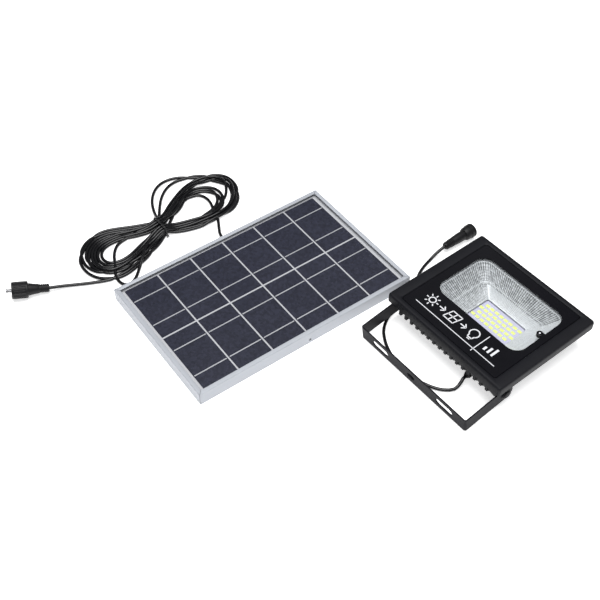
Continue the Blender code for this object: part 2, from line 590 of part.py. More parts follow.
def build_lamp_lead(parent):
    lead("lamp_lead", LAMP_LEAD_ROUTE, parent)
    place, turn = SOCKET_AT, (math.radians(-90), 0, 0)
    turned("socket_body", [(0, 28.5), (5.3, 28.5), (5.6, 23), (4.7, 8), (4.4, 5), (4.4, 0), (0, 0)],
           "rubber", parent, place, turn)
    turned("socket_sleeve", [(5.9, 42.5), (7.1, 42.5), (8, 41.6), (8, 36), (7.4, 35.5), (7.4, 31.2),
                             (6.3, 29), (5.4, 28.8), (5.4, 30.2), (5.9, 30.2)], "plastic", parent, place,
           turn, True, 32)
    turned("socket_insert", [(2.2, 37), (5.6, 37), (5.6, 30.5), (2.2, 30.5)], "plastic", parent, place,
           turn, True)


def main():
    panel = empty("panel", PANEL_AT, (0, 0, PANEL_TURN))
    build_panel(panel)
    build_panel_lead(panel)
    plug_heading = Matrix.Rotation(PLUG_TURN, 3, "Z") @ Matrix.Rotation(math.radians(90) - PLUG_RISE, 3, "Y")
    plug = empty("plug axis", PLUG_AT, plug_heading.to_euler(), panel)
    build_plug(plug)

    tilt_axis = empty("tilt axis", HEAD_AT + Vector((0, PIVOT_Y, PIVOT_Z)))
    head = empty("head", (0, -PIVOT_Y, -PIVOT_Z), parent=tilt_axis)
    build_housing(head)
    build_bezel(head)
    build_lamp_front(head)
    build_electronics(head)
    build_fasteners(head)
    build_gland(head)

    floor_side = empty("lamp on floor", HEAD_AT)
    build_lamp_lead(floor_side)
    yoke_axis = empty("yoke axis", (0, PIVOT_Y, PIVOT_Z), (YOKE_DROOP, 0, 0), floor_side)
    build_yoke(yoke_axis)


main()
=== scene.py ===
"""The looks of the solar flood light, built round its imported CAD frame.

Lengths in the tables are in mm.
"""

import math
import random

import bmesh
import bpy
import numpy as np
from mathutils import Matrix, Vector


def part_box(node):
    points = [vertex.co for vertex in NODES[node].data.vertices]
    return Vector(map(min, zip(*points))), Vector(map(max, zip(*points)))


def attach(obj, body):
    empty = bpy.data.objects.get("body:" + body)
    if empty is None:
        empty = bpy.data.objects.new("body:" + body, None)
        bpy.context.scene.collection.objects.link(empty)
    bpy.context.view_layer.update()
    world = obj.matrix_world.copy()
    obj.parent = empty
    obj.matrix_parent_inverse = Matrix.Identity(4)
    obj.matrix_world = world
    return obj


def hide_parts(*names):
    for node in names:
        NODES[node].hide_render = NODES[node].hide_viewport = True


MM = 0.001
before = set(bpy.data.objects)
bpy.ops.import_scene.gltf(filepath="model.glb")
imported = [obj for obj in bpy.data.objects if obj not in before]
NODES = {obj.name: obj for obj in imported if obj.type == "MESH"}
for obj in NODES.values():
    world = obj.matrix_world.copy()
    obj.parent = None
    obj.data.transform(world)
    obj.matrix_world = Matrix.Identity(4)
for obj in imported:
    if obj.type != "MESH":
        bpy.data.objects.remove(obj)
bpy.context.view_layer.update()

PANEL = Matrix.Translation((-0.0857, -0.0387, 0)) @ Matrix.Rotation(math.radians(87.5), 4, "Z")
LAMP = Matrix.Translation((0.0987, 0.1062, 0))
PLUG = (PANEL @ Matrix.Translation(Vector((-209.5, 145.0, 10.3)) * MM)
        @ Matrix.Rotation(math.radians(158.7), 4, "Z") @ Matrix.Rotation(math.radians(81), 4, "Y"))
SOCKET = (LAMP @ Matrix.Translation(Vector((-108.5, 46.6, 8.3)) * MM)
          @ Matrix.Rotation(math.radians(-90), 4, "X"))
GLAND_X, GLAND_Z = 31.4, 8
GLAND = (LAMP @ Matrix.Translation(Vector((GLAND_X, 0, GLAND_Z)) * MM)
         @ Matrix.Rotation(math.radians(90), 4, "X"))
LEAD_R = 1.8


# ---------------------------------------------------------------- camera

def add_camera():
    data = bpy.data.cameras.new("camera")
    data.lens, data.sensor_width = 58.54, 36
    camera = bpy.data.objects.new("camera", data)
    camera.location = (0.4777, -0.4371, 0.771)
    camera.rotation_euler = (math.radians(41.34), 0, math.radians(51.5))
    bpy.context.scene.collection.objects.link(camera)
    bpy.context.scene.camera = camera


add_camera()


# ---------------------------------------------------------------- materials

def node(tree, kind, **values):
    made = tree.nodes.new(kind)
    for key, value in values.items():
        if hasattr(made, key):
            setattr(made, key, value)
        else:
            made.inputs[key.replace("_", " ")].default_value = value
    return made


def surface(name, colour, roughness, metallic=0.0, vary=0.15, grain=900, bump=0.08, depth=0.0001,
            rough_vary=0.08, patch=60, **fixed):
    """A Principled material with a fine grain in its height and patches in its colour and gloss."""
    material = bpy.data.materials.new(name)
    material.use_nodes = True
    tree = material.node_tree
    shader = tree.nodes["Principled BSDF"]
    shader.inputs["Metallic"].default_value = metallic
    for key, value in fixed.items():
        shader.inputs[key.replace("_", " ")].default_value = value
    coords = node(tree, "ShaderNodeTexCoord")
    fine = node(tree, "ShaderNodeTexNoise", Scale=grain, Detail=3.0)
    wide = node(tree, "ShaderNodeTexNoise", Scale=patch, Detail=4.0, Roughness=0.6)
    for noise in (fine, wide):
        tree.links.new(coords.outputs["Object"], noise.inputs["Vector"])
    tint = node(tree, "ShaderNodeMix", data_type="RGBA")
    dark, light = ([channel * (1 + sign * vary) for channel in colour] for sign in (-1, 1))
    tint.inputs["A"].default_value = (*dark, 1)
    tint.inputs["B"].default_value = (*[min(1, c) for c in light], 1)
    tree.links.new(wide.outputs["Fac"], tint.inputs["Factor"])
    tree.links.new(tint.outputs["Result"], shader.inputs["Base Color"])
    spread = node(tree, "ShaderNodeMapRange", To_Min=roughness - rough_vary,
                  To_Max=roughness + rough_vary)
    tree.links.new(wide.outputs["Fac"], spread.inputs["Value"])
    tree.links.new(spread.outputs["Result"], shader.inputs["Roughness"])
    if bump:
        relief = node(tree, "ShaderNodeBump", Strength=bump, Distance=depth)
        tree.links.new(fine.outputs["Fac"], relief.inputs["Height"])
        tree.links.new(relief.outputs["Normal"], shader.inputs["Normal"])
    return material


def polycrystalline(name):
    """Solar cells: small flakes of silicon, each a little bluer or greyer, under a clear coat."""
    material = surface(name, (0.03, 0.032, 0.052), 0.34, vary=0.2, patch=25, grain=2600, bump=0.03,
                       Specular_IOR_Level=0.35)
    tree = material.node_tree
    shader = tree.nodes["Principled BSDF"]
    coords = tree.nodes["Texture Coordinate"]
    flakes = node(tree, "ShaderNodeTexVoronoi", Scale=420.0)
    tone = node(tree, "ShaderNodeMix", data_type="RGBA", blend_type="MULTIPLY")
    grey = node(tree, "ShaderNodeMapRange", To_Min=0.72, To_Max=1.3)
    split = node(tree, "ShaderNodeSeparateColor")
    tree.links.new(coords.outputs["Object"], flakes.inputs["Vector"])
    tree.links.new(flakes.outputs["Color"], split.inputs["Color"])
    tree.links.new(split.outputs["Red"], grey.inputs["Value"])
    tone.inputs["Factor"].default_value = 1.0
    before = shader.inputs["Base Color"].links[0].from_socket
    tree.links.new(before, tone.inputs["A"])
    tree.links.new(grey.outputs["Result"], tone.inputs["B"])
    tree.links.new(tone.outputs["Result"], shader.inputs["Base Color"])
    return material


def mirror_with_painted_shade(name):
    """Silvered plastic, bright on its facets, with painted shade in the grooves between them that
    stands in for the reflections the facets catch.
    """
    material = surface(name, (0.9, 0.94, 0.97), 0.3, metallic=0.12, vary=0.03, grain=500, bump=0.03,
                       rough_vary=0.04)
    tree = material.node_tree
    shader = tree.nodes["Principled BSDF"]
    groove = node(tree, "ShaderNodeAttribute", attribute_name="groove")
    shade = node(tree, "ShaderNodeMix", data_type="RGBA")
    # Painted shade: the dark grey mixed in where the groove attribute is high.
    shade.inputs["B"].default_value = (0.05, 0.055, 0.06, 1)
    tree.links.new(groove.outputs["Fac"], shade.inputs["Factor"])
    tree.links.new(shader.inputs["Base Color"].links[0].from_socket, shade.inputs["A"])
    tree.links.new(shade.outputs["Result"], shader.inputs["Base Color"])
    return material


LOOK = {
    "frame": surface("anodised aluminium", (0.46, 0.48, 0.52), 0.45, metallic=0.15, vary=0.05,
                     grain=1500, bump=0.05, rough_vary=0.05, patch=40),
    "panel_glass": surface("panel glass", (0.03, 0.032, 0.045), 0.12, vary=0.1, grain=500,
                           bump=0.02, rough_vary=0.02, Alpha=0.1),
    "cells": polycrystalline("silicon cells"),
    "ribbon": surface("tinned ribbon", (0.72, 0.73, 0.76), 0.4, metallic=0.3, vary=0.08, grain=700,
                      bump=0.1),
    "backing": surface("white backing", (0.74, 0.75, 0.78), 0.5, vary=0.03, grain=600, bump=0.04),
    "paint": surface("black powder coat", (0.0075, 0.0078, 0.0105), 0.5, vary=0.25, grain=1300,
                     bump=0.16, depth=0.00012, rough_vary=0.06, Specular_IOR_Level=0.16),
    "yoke": surface("grey-black powder coat", (0.0085, 0.0082, 0.012), 0.52, vary=0.25, grain=1400,
                    bump=0.2, depth=0.00012, rough_vary=0.06, Specular_IOR_Level=0.1),
    "print": surface("black print on glass", (0.003, 0.003, 0.005), 0.24, vary=0.2, grain=60,
                     bump=0.01, rough_vary=0.03, Specular_IOR_Level=0.24),
    "white_ink": surface("white ink", (0.78, 0.79, 0.82), 0.4, vary=0.04, grain=800, bump=0.05),
    "lamp_glass": surface("clear glass", (0.02, 0.022, 0.024), 0.04, vary=0.1, grain=200, bump=0.01,
                          rough_vary=0.01, Alpha=0.06),
    "mirror": mirror_with_painted_shade("silvered plastic with painted shade"),
    "board": surface("white solder mask", (0.68, 0.68, 0.86), 0.35, vary=0.05, grain=800,
                     bump=0.05),
    "led_case": surface("white diode case", (0.9, 0.91, 0.95), 0.4, vary=0.03, bump=0.05),
    # The phosphor's emission is a painted glow that brightens its yellow.
    "phosphor": surface("yellow phosphor with painted glow", (0.78, 0.86, 0.25), 0.3, vary=0.12, grain=1800, bump=0.1,
                        patch=400, Emission_Color=(0.8, 0.95, 0.3, 1), Emission_Strength=0.22),
    "green": surface("green circuit board", (0.02, 0.16, 0.06), 0.4, grain=500, bump=0.1),
    "sleeve": surface("blue battery sleeve", (0.03, 0.11, 0.4), 0.35, vary=0.1, grain=400,
                      bump=0.05),
    "plastic": surface("moulded black plastic", (0.008, 0.008, 0.009), 0.45, vary=0.2, grain=1500,
                       bump=0.12, Specular_IOR_Level=0.25),
    "rubber": surface("black rubber", (0.007, 0.007, 0.008), 0.5, vary=0.2, grain=1700, bump=0.15,
                      Specular_IOR_Level=0.25),
    "jacket": surface("lead jacket", (0.005, 0.005, 0.006), 0.24, vary=0.25, grain=1200, bump=0.05,
                      rough_vary=0.05, Specular_IOR_Level=0.42),
    "tie": surface("black tie", (0.014, 0.014, 0.015), 0.45, vary=0.2, grain=1500, bump=0.1),
    "steel": surface("zinc-plated steel", (0.55, 0.55, 0.56), 0.3, metallic=0.95, vary=0.08,
                     grain=1400, patch=200),
    "contact": surface("dull steel", (0.3, 0.3, 0.31), 0.4, metallic=0.9, vary=0.1, grain=1400,
                       patch=200),
    "back_sheet": surface("white back sheet", (0.78, 0.79, 0.8), 0.5, vary=0.03, bump=0.1),
}


# ---------------------------------------------------------------- mesh helpers

# Points round one rib of a nut and the groove beside it.
RIB_STEPS = 6


def finish_piece(name, bm, look, body, replaced=(), sharp=35, bevel=0.0):
    bmesh.ops.recalc_face_normals(bm, faces=bm.faces)
    mesh = bpy.data.meshes.new(name)
    bm.to_mesh(mesh)
    bm.free()
    mesh.shade_smooth()
    mesh.set_sharp_from_angle(angle=math.radians(sharp))
    mesh.materials.append(LOOK[look])
    piece = bpy.data.objects.new(name, mesh)
    bpy.context.scene.collection.objects.link(piece)
    if bevel:
        rounding = piece.modifiers.new("Rounding", "BEVEL")
        rounding.width, rounding.segments = bevel * MM, 2
        rounding.limit_method, rounding.angle_limit = "ANGLE", math.radians(30)
        rounding.harden_normals = True
    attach(piece, body)
    if replaced:
        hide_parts(*replaced)
    return piece


def refined(cad_name, look, body, bevel=0.35):
    """The CAD node's own shape with its flat faces joined up again and its edges rounded."""
    bm = bmesh.new()
    bm.from_mesh(NODES[cad_name].data)
    bmesh.ops.remove_doubles(bm, verts=bm.verts, dist=0.000002)
    bmesh.ops.dissolve_limit(bm, angle_limit=math.radians(1), verts=bm.verts, edges=bm.edges)
    return finish_piece(cad_name + "_finish", bm, look, body, [cad_name], 35, bevel)


def add_box(bm, low, high, place=Matrix.Identity(4)):
    low, high = Vector(low) * MM, Vector(high) * MM
    bmesh.ops.create_cube(bm, size=1, matrix=place @ Matrix.Translation((low + high) / 2)
                          @ Matrix.Diagonal((*(high - low), 1)))


def ring_points(half_x, half_y, radius, z, centre=(0, 0), steps=12):
    points = []
    for corner in range(4):
        sign_x, sign_y = ((1, 1), (-1, 1), (-1, -1), (1, -1))[corner]
        for step in range(steps + 1):
            angle = math.pi / 2 * (corner + step / steps)
            points.append(((centre[0] + sign_x * (half_x - radius) + radius * math.cos(angle)) * MM,
                           (centre[1] + sign_y * (half_y - radius) + radius * math.sin(angle)) * MM,
                           z * MM))
    return points


def loft_rings(bm, rings, place, closed=False):
    rings = [[bm.verts.new(place @ Vector(p)) for p in ring] for ring in rings]
    pairs = list(zip(rings, rings[1:]))
    if closed:
        pairs.append((rings[-1], rings[0]))
    else:
        bm.faces.new(rings[0])
        bm.faces.new(rings[-1])
    for lower, upper in pairs:
        for i, vert in enumerate(lower):
            following = (i + 1) % len(lower)
            bm.faces.new((vert, lower[following], upper[following], upper[i]))


def turned(bm, profile, place, steps=40, ribs=0, rib_depth=0.0, rib_span=(0, 0), closed=False):
    """A profile of (radius, height) turned about local Z, with ribs along part of its height."""
    count = ribs * RIB_STEPS or steps
    rings = []
    for radius, height in profile:
        ribbed = ribs and rib_span[0] <= height <= rib_span[1]
        ring = []
        for i in range(count):
            angle = 2 * math.pi * i / count
            reach = (radius + (rib_depth if ribbed and i % RIB_STEPS < RIB_STEPS / 2 else 0)) * MM
            ring.append((reach * math.cos(angle), reach * math.sin(angle), height * MM))
        rings.append(ring)
    loft_rings(bm, rings, place, closed)


def relief_rings(radius, start, end, pitch=2.0, groove=0.5):
    """The profile of a ribbed strain relief, from start down to end."""
    points, height = [], start
    while height - pitch >= end - 0.01:
        points += [(radius, height), (radius, height - pitch * 0.55),
                   (radius - groove, height - pitch * 0.65),
                   (radius - groove, height - pitch * 0.92)]
        height -= pitch
    return points


def smooth_route(route, spacing):
    """Points about spacing apart on a Catmull-Rom curve through the route's own points, in mm."""
    knots = [Vector(p) for p in route]
    knots = [2 * knots[0] - knots[1]] + knots + [2 * knots[-1] - knots[-2]]
    points = []
    for a, b, c, d in zip(knots, knots[1:], knots[2:], knots[3:]):
        steps = max(1, round((c - b).length / spacing))
        for i in range(steps):
            t = i / steps
            points.append(b + 0.5 * t * ((c - a) + t * (2 * a - 5 * b + 4 * c - d
                                                        + t * (3 * b - a - 3 * c + d))))
    return points + [knots[-2]]


def tube(name, points, place, radius, look, body, cyclic=False):
    curve = bpy.data.curves.new(name, "CURVE")
    curve.dimensions = "3D"
    curve.bevel_depth, curve.bevel_resolution = radius * MM, 3
    curve.use_fill_caps = not cyclic
    spline = curve.splines.new("POLY")
    spline.points.add(len(points) - 1)
    for target, point in zip(spline.points, points):
        target.co = (*(place @ (Vector(point) * MM)), 1)
    spline.use_cyclic_u = cyclic
    spline.use_smooth = True
    curve.materials.append(LOOK[look])
    piece = bpy.data.objects.new(name, curve)
    bpy.context.scene.collection.objects.link(piece)
    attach(piece, body)
    return piece


# ---------------------------------------------------------------- leads

LAMP_LEAD_ROUTE = [(GLAND_X, -60.8, GLAND_Z), (31.8, -64, 7.3), (32.8, -68, 5.0), (33.4, -72, 2.9),
                   (33.2, -76.3, 1.9), (31, -81, 1.9), (26.5, -86, 1.9), (20.5, -90.4, 1.9),
                   (11, -94.8, 1.9), (0, -97.8, 1.9), (-12, -98.4, 1.9), (-24, -98, 1.9),
                   (-36, -96.2, 1.9), (-47, -92.4, 1.9), (-56, -87.6, 1.9), (-64.4, -81.4, 1.9),
                   (-70.8, -73.6, 1.9), (-75.7, -64.3, 1.9), (-80, -51, 1.9), (-84, -37, 1.9),
                   (-88.5, -21, 1.9), (-94, -9, 1.9), (-100.3, 2, 1.9), (-104.8, 13.2, 1.9),
                   (-107.6, 24.6, 2.3), (-108.7, 32, 4.0), (-108.6, 38.5, 6.6), (-108.5, 45.7, 8.2)]
LEAD_START = [(7.2, 65.6, 4.9), (7.2, 76, 4.9), (7.2, 87, 4.9), (8.4, 95, 3.6), (11, 102, 2.2),
              (14, 108, 1.9), (17.4, 113.8, 3), (21, 122, 8.5), (25, 133, 13), (28.5, 145, 13.5),
              (30, 156, 13), (26, 168, 13), (13, 173, 13.5), (-4, 168, 13.5), (-20, 159, 12)]
TAIL = [(-64, 124.5, 4), (-84, 115.5, 3), (-103, 108.8, 2.3), (-122, 109.5, 2), (-136, 115, 1.9),
        (-146, 119.8, 1.9), (-156, 124.8, 2.1), (-166, 129.2, 3.0), (-174, 131.6, 4.4),
        (-181.6, 134.13, 5.5), (-184.4, 135.2, 6)]
TIE_X, TIE_Y = -40.0, 145.0
TIE_PITCH, TIE_ROWS = 3.75, (9.6, 6.2, 2.8)
# Each fold's two lobes past the tie, as (x, y): the left one from above to below, and the right
# one back up.
LEFT_LOBES = {
    "wide": [(-66, 165), (-93, 177), (-114, 173), (-133, 155), (-138, 136), (-132, 118),
             (-112, 107), (-86, 113), (-62, 125)],
    "middle": [(-68, 158), (-94, 168), (-118, 165), (-132, 148), (-131, 129), (-118, 117),
               (-96, 116), (-72, 126)],
    "narrow": [(-70, 153), (-92, 160), (-112, 157), (-123, 143), (-119, 129), (-104, 123),
               (-84, 127), (-66, 134)],
    "dip": [(-66, 155), (-88, 155), (-104, 140), (-112, 121), (-119, 106), (-121, 97), (-116, 90),
            (-107, 89.2), (-99.5, 95), (-92, 106), (-79, 119), (-62, 131)],
    "tall": [(-62, 160), (-88, 174), (-110, 176), (-126, 166), (-135, 148), (-128, 130),
             (-108, 118), (-80, 120), (-60, 129)],
}
RIGHT_LOBES = {
    "upright": [(-14, 128), (14, 122), (42, 127), (60, 146), (60, 170), (42, 190), (18, 211),
                (-6, 209), (-24, 192), (-33, 170)],
    "long": [(-12, 130), (16, 125), (46, 127), (67, 145), (72, 170), (58, 187), (32, 188), (4, 176),
             (-20, 160)],
    "inner": [(-14, 134), (10, 130), (34, 134), (49, 150), (46, 168), (28, 178), (4, 171),
              (-18, 157)],
    "corner": [(-14, 132), (12, 130), (36, 139), (56, 152), (67, 168), (62, 182), (46, 192),
               (24, 192), (0, 180), (-22, 162)],
    "steep": [(-12, 130), (14, 124), (44, 131), (62, 152), (56, 180), (34, 200), (8, 204),
              (-14, 188), (-28, 168)],
}
FOLDS = [("narrow", "inner"), ("dip", "corner"), ("middle", "long"),
         ("tall", "upright"), ("middle", "long"), ("narrow", "inner"),
         ("wide", "steep"), ("tall", "long"), ("middle", "inner")]
# The tie's slots that each fold passes through, above and below the middle, in pitches.
UPPER_SLOTS = (0.5, 1.5, 2.5, 2.5, 1.5, 0.5, 3, 2, 1)
LOWER_SLOTS = (-0.5, -1.5, -2.5, -2.5, -1.5, -0.5, -2, -1, 0)


FOLD_Z, FOLD_STEP = 1.9, 1.5


def hank_route():
    """The folded lead, from its start at the panel to the plug: nine folds through the tie."""
    random.seed(7)
    route, fixed = [Vector(p) for p in LEAD_START], set(range(5))
    for turn, (left, right) in enumerate(FOLDS):
        tie_z = TIE_ROWS[turn // 3]
        lobe_z = FOLD_Z + (len(FOLDS) - turn) * FOLD_STEP
        scale = 1 - 0.035 * (turn % 3)
        for slot, lobe in ((UPPER_SLOTS[turn], LEFT_LOBES[left]),
                           (LOWER_SLOTS[turn], RIGHT_LOBES[right])):
            fixed.add(len(route))
            route.append(Vector((TIE_X, TIE_Y + slot * TIE_PITCH, tie_z)))
            for x, y in lobe:
                grow = scale * random.uniform(0.975, 1.025)
                route.append(Vector((TIE_X + (x - TIE_X) * grow, TIE_Y + (y - TIE_Y) * grow,
                                     lobe_z)))
    fixed.add(len(route))
    route.append(Vector((TIE_X, TIE_Y - 3 * TIE_PITCH, TIE_ROWS[2])))
    fixed.update(range(len(route) + 3, len(route) + len(TAIL)))
    route += [Vector(p) for p in TAIL]
    return route, fixed


SPACING, ROUNDS, QUICK_ROUNDS, CALM_ROUNDS, SMOOTHING_ROUNDS = 3.0, 240, 60, 30, 16
# Held where they are: the first points, those past HELD_X on the way to the plug, and the tie's.
HELD_AT_START, HELD_X, HELD_AT_TIE = 13, -142, 5
# How far each round goes, down, up off a run that it lies in, apart, and back to the drawn route.
SINK, LIFT, PUSH, PULL = 0.12, 0.1, (0.35, 0.35, 0.5), 0.02


def settle(route, fixed):
    """Lets the folds down onto the floor and onto each other, and pushes crossing runs apart.

    The last rounds only smooth it, at the tie too, so that no bend is tighter than the lead allows.
    """
    rounds = ROUNDS
    pinned_places = np.array([route[i] for i in sorted(fixed)])
    points = np.array(smooth_route(route, SPACING))
    gap = np.linalg.norm(points[:, None] - pinned_places[None], axis=2).min(axis=1)
    at_tie = np.abs(points[:, 0] - TIE_X) < HELD_AT_TIE
    free = ~((gap < 1e-4) | at_tie | (points[:, 0] < HELD_X))
    free[:HELD_AT_START] = False
    thick, count = 2 * LEAD_R, len(points)
    order = np.arange(count)
    plan = points[:, :2].copy()
    for step in range(rounds):
        if step % 8 == 0:
            squares = (points ** 2).sum(axis=1)
            spread = squares[:, None] + squares[None] - 2 * points @ points.T
            along = np.abs(order[:, None] - order[None]) * SPACING
            first, second = np.nonzero((spread < (thick + 3) ** 2) & (along > 3.2 * thick))
        points[free, 2] -= SINK
        delta = points[first] - points[second]
        distance = np.linalg.norm(delta, axis=1) + 1e-9
        close = distance < thick
        push = np.where(close, (thick - distance) / distance, 0)[:, None] * delta
        shares = np.maximum(np.bincount(first, close, count), 1)
        move = np.stack([np.bincount(first, push[:, axis], count) / shares * PUSH[axis]
                         for axis in range(3)], axis=1)
        flat = close & (np.abs(delta[:, 2]) < 0.3)
        lift = np.bincount(first, flat * np.sign(second - first), count)
        move[:, 2] += LIFT * np.clip(lift, -1, 1)
        points[free] += move[free]
        points[free, :2] += PULL * (plan[free] - points[free, :2])
        middle = points.copy()
        middle[1:-1] = (points[:-2] + 2 * points[1:-1] + points[2:]) / 4
        share = 0.45 if step < rounds - CALM_ROUNDS else 0.25
        points[free, 2] += share * (middle[free, 2] - points[free, 2])
        points[free, :2] += 0.12 * (middle[free, :2] - points[free, :2])
        points[free, 2] = np.maximum(points[free, 2], LEAD_R + 0.05)
    loose = free | at_tie
    for _ in range(SMOOTHING_ROUNDS):
        middle = (points[:-2] + 2 * points[1:-1] + points[2:]) / 4
        points[1:-1] += 0.5 * (middle - points[1:-1]) * loose[1:-1, None]
    return [Vector(p) for p in points]


def path_length(points):
    return sum((b - a).length for a, b in zip(points, points[1:])) * MM


panel_points = settle(*hank_route())
panel_lead = tube("panel_lead_run", panel_points, PANEL, LEAD_R, "jacket", "panel")
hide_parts("panel_lead", "lead_hank", "panel_lead_tail")
lamp_points = smooth_route(LAMP_LEAD_ROUTE, 4)
lamp_lead = tube("lamp_lead_run", lamp_points, LAMP, LEAD_R, "jacket", "lamp")
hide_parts("lamp_lead")
print("lead lengths", path_length(panel_points), path_length(lamp_points))


def build_tie():
    """A thin strap round the waist of the hank, with its two short ends."""
    half, low, high, corner, taper = 14.2, 0.75, 12.1, 3.5, 2.3
    corners = ((half - taper - corner, high - corner, 0),
               (corner - half + taper, high - corner, 90),
               (corner - half, low + corner, 180), (half - corner, low + corner, 270))
    loop = []
    for centre_y, centre_z, start in corners:
        for i in range(7):
            angle = math.radians(start + 15 * i)
            y, z = centre_y + corner * math.cos(angle), centre_z + corner * math.sin(angle)
            loop.append((TIE_X - 0.06 * y, TIE_Y - 0.3 + y, z))
    tie = tube("hank_tie_loop", loop, PANEL, 0.7, "tie", "panel", cyclic=True)
    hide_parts("hank_tie")
    for number, side in enumerate((-1, 1), 1):
        points = [(TIE_X + 0.8 + side * (0.7 + 0.05 * i), TIE_Y - half + 0.2 - 0.3 * i,
                   3.4 - 0.4 * i) for i in range(7)]
        tube(f"hank_tie_end_{number}", smooth_route(points, 0.7), PANEL, 0.65, "tie", "panel")


build_tie()


def build_plug():
    bm = bmesh.new()
    turned(bm, [(0, 6), (5.0, 6), (5.2, 5.8), (5.2, -3.2), (7.1, -3.4), (7.1, -4.7), (6.7, -5.0),
                (6.5, -10), (5.9, -13), (5.5, -15), (5.1, -19), (4.8, -19.6),
                *relief_rings(4.6, -19.8, -29.8), (3.7, -30.2), (0, -30.3)], PLUG)
    body = finish_piece("plug_moulding", bm, "rubber", "panel", ["plug_body"], 40)
    bm = bmesh.new()
    turned(bm, [(6.9, 8.0), (7.9, 8.5), (8.5, 8.2), (9.0, 7.5), (9.0, 6.2), (8.6, 6.0), (8.6, -5.6),
                (9.0, -5.9), (9.0, -7.7), (8.5, -8.4), (7.6, -8.6), (6.8, -8.5), (6.8, -5),
                (7.4, -5)], PLUG, ribs=18, rib_depth=0.45, rib_span=(-5.7, 6.1), closed=True)
    nut = finish_piece("plug_nut_moulding", bm, "plastic", "plug_nut",
                       ["plug_nut"], 30)
    bm = bmesh.new()
    turned(bm, [(0, 14.3), (1.5, 14.3), (1.95, 14.0), (2.1, 13.7), (2.1, 12.8), (1.7, 12.4),
                (1.7, 11.9), (1.8, 11.7), (1.8, 8.4), (2.3, 8.2), (2.6, 7.9), (2.6, 6.3), (0, 6.3)],
           PLUG, 32)
    pin = finish_piece("plug_contact", bm, "contact", "panel", ["plug_pin"], 30)
    return [body, nut, pin, NODES["plug_o_ring"]]


def build_socket():
    bm = bmesh.new()
    turned(bm, [(0, 28.5), (5.4, 28.5), (5.6, 25), (5.5, 20), (4.9, 12.6),
                *relief_rings(4.8, 12.2, 6.2, 2.0, 0.45), *relief_rings(4.4, 6, 0.9, 1.6, 0.4),
                (3.6, 0.3), (0, 0)], SOCKET)
    body = finish_piece("socket_moulding", bm, "rubber", "lamp",
                        ["socket_body"], 40)
    bm = bmesh.new()
    turned(bm, [(6.0, 42.2), (6.4, 42.5), (7.1, 42.5), (7.7, 42.1), (7.7, 41.5), (8, 41.3),
                (8, 40.4), (7.6, 40.2), (7.6, 39.5), (8, 39.3), (8, 36.2), (7.4, 35.5), (7.4, 31.4),
                (7.0, 30.3), (6.3, 29.1), (5.5, 28.8), (5.5, 30.2), (6.0, 30.2)],
           SOCKET, 48, closed=True)
    sleeve = finish_piece("socket_shell", bm, "plastic", "lamp",
                          ["socket_sleeve"], 35)
    return [body, sleeve, NODES["socket_insert"]]


build_plug()
build_socket()


# ---------------------------------------------------------------- solar panel

COLUMNS, ROWS = 6, 2
CELL_X, CELL_Y, PITCH_X, PITCH_Y = 39.3, 77.0, 41.0, 78.9
CELL_LOW, CELL_HIGH = 10.75, 11.0
BUSBAR_WIDTH = 1.24


def cell_centres():
    for column in range(COLUMNS):
        for row in range(ROWS):
            yield ((column - (COLUMNS - 1) / 2) * PITCH_X, (row - (ROWS - 1) / 2) * PITCH_Y)


def build_panel():
    for side in ("front", "right", "back", "left"):
        refined("panel_rail_" + side, "frame", "panel", 0.25)
    bm = bmesh.new()
    add_box(bm, (-129.3, -82.3, 10.5), (129.3, 82.3, 10.72), PANEL)
    finish_piece("cell_backing", bm, "backing", "panel", bevel=0.05)
    bm = bmesh.new()
    for x, y in cell_centres():
        add_box(bm, (x - CELL_X / 2, y - CELL_Y / 2, CELL_LOW),
                (x + CELL_X / 2, y + CELL_Y / 2, CELL_HIGH), PANEL)
    finish_piece("solar_cells", bm, "cells", "panel", ["cell_layer"], bevel=0.08)
    bm = bmesh.new()
    for x, y in cell_centres():
        for side in (-1, 1):
            line = y + side * CELL_Y / 4
            add_box(bm, (x - CELL_X / 2 + 0.9, line - BUSBAR_WIDTH / 2, CELL_HIGH - 0.05),
                    (x + CELL_X / 2 - 0.9, line + BUSBAR_WIDTH / 2, CELL_HIGH + 0.12), PANEL)
    finish_piece("busbars", bm, "ribbon", "panel", bevel=0.04)


build_panel()


# ---------------------------------------------------------------- lamp

WINDOW = (1.2, 12.3)
WINDOW_HALF = (56.0, 36.2)
FINS, FIN_START, FIN_PITCH, FIN_WIDTH = 16, -58.4, 8, 3.5
# The reflector's bowl: half its length and width and its corner's radius, at its top and its foot.
BOWL_TOP, BOWL_FOOT = (56.9, 37.1, 13.5), (26.7, 15.7, 2.5)
BOWL_Z, BOWL_DEPTH, BOWL_CORNER_STEPS = 33.2, 20.6, 14
BOARD_HALF = (28, 16.8)
SENSOR_X, SENSOR_Y = 53.0, 13.8
LED_LOW, LED_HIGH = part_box("led_board")
LED_CENTRE = ((LED_LOW + LED_HIGH) / 2 - LAMP.translation) / MM
LED_TOP = 11.2


